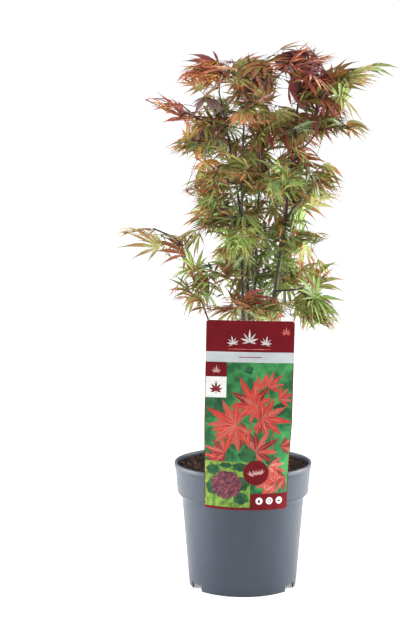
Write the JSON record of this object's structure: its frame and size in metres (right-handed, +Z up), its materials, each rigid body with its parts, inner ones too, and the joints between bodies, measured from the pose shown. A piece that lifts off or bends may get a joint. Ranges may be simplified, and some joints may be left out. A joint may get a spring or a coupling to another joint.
{
  "type": "potted japanese maple",
  "caption": "Young Japanese maple with several upright stems and finely cut red, rust and green leaves, in a grey plastic nursery pot with a plain picture label.",
  "frame": {"origin": "centre of the flat underside of the pot, on its axis", "axes": "+Z up along the pot's axis; -Y to the front, where the label is; +X to the right as seen from the front"},
  "size_m": [0.3979, 0.2798, 0.7463],
  "materials": {
    "pot": "satin moulded polypropylene",
    "soil": "moist peat with wood fibre",
    "label": "printed plastic card",
    "bark": "young dark bark",
    "green_bark": "young green-brown bark",
    "red_leaves": "leaf",
    "rust_leaves": "leaf",
    "green_leaves": "leaf",
    "lime_leaves": "leaf"
  },
  "bodies": {
    "root": {"pot": "pot", "soil": "soil", "label": "label", "trunk": "bark", "leader_right": "green_bark", "leader_left": "bark", "leader_centre": "bark", "leader_back": "green_bark", "bough_low_left": "bark", "bough_low_right": "bark", "bough_upper_left": "bark", "bough_upper_right": "bark", "bough_left": "bark", "bough_right": "bark", "bough_back_left": "bark", "bough_back_right": "bark", "bough_back_low": "bark", "bough_front": "bark", "bough_front_right": "bark", "foliage_top_left": "red_leaves", "foliage_top_centre": "red_leaves", "foliage_crest": "red_leaves", "foliage_top_right": "rust_leaves", "foliage_arm_right": "lime_leaves", "foliage_shoulder_right": "lime_leaves", "foliage_arm_left": "red_leaves", "foliage_purple_left": "rust_leaves", "foliage_upper_left": "rust_leaves", "foliage_shoulder_left": "rust_leaves", "foliage_core_upper": "rust_leaves", "foliage_left": "rust_leaves", "foliage_core": "green_leaves", "foliage_rust_right": "rust_leaves", "foliage_right": "lime_leaves", "foliage_waist_left": "rust_leaves", "foliage_waist_right": "green_leaves", "foliage_waist": "green_leaves", "foliage_low_left_tip": "lime_leaves", "foliage_low_left_arm": "green_leaves", "foliage_low_left": "green_leaves", "foliage_low_core": "green_leaves", "foliage_low_right": "lime_leaves", "foliage_foot_right": "lime_leaves", "foliage_foot_left": "green_leaves", "foliage_foot": "green_leaves", "foliage_back_top": "red_leaves", "foliage_back_shoulder": "rust_leaves", "foliage_back_left": "rust_leaves", "foliage_back": "rust_leaves", "foliage_back_right": "green_leaves", "foliage_back_waist": "green_leaves", "foliage_back_low": "green_leaves", "foliage_back_foot": "green_leaves", "foliage_front_top": "rust_leaves", "foliage_front_left": "rust_leaves", "foliage_front_right": "green_leaves", "foliage_front_low": "green_leaves"}
  },
  "joints": []
}
